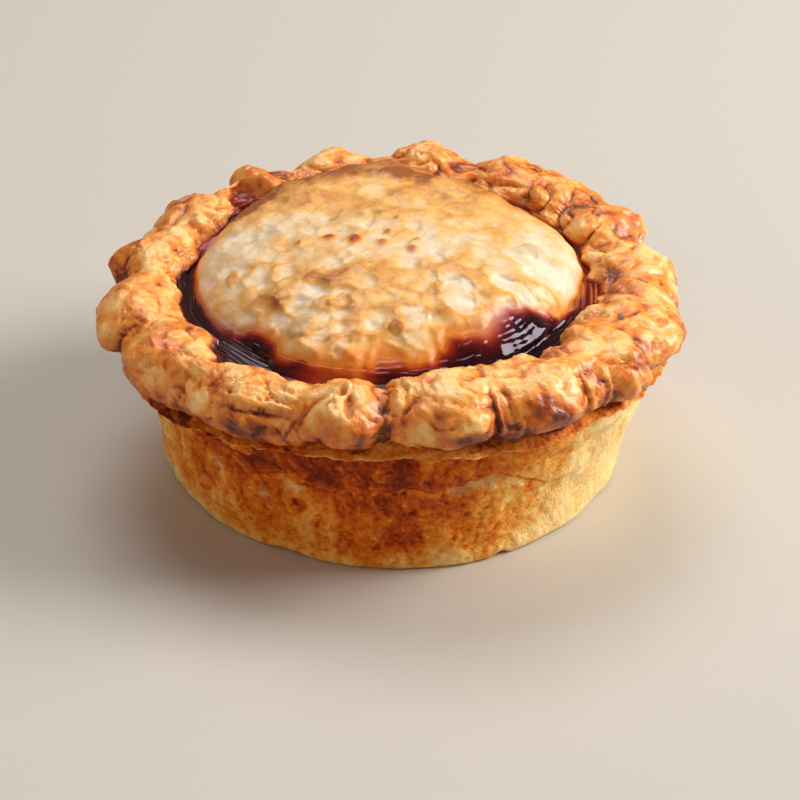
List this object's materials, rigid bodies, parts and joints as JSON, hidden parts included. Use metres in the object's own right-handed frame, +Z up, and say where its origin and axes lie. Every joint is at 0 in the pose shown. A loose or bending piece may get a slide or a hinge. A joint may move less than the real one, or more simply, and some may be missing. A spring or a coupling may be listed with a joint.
{
  "type": "fruit pie",
  "caption": "Small round double-crust fruit pie with a crimped golden rim, a domed flaky lid and dark glossy syrup boiled up around the lid.",
  "frame": {"origin": "middle of the flat base, on the table", "axes": "+Z up; -Y towards the front, where the syrup has eaten into the lid; +X to the right seen from the front"},
  "size_m": [0.1406, 0.139, 0.0554],
  "materials": {
    "pastry": "baked, flaky, egg-washed on the rim",
    "syrup": "wet gloss"
  },
  "bodies": {
    "root": {"pastry_crust": "pastry", "fruit_syrup": "syrup"}
  },
  "joints": []
}
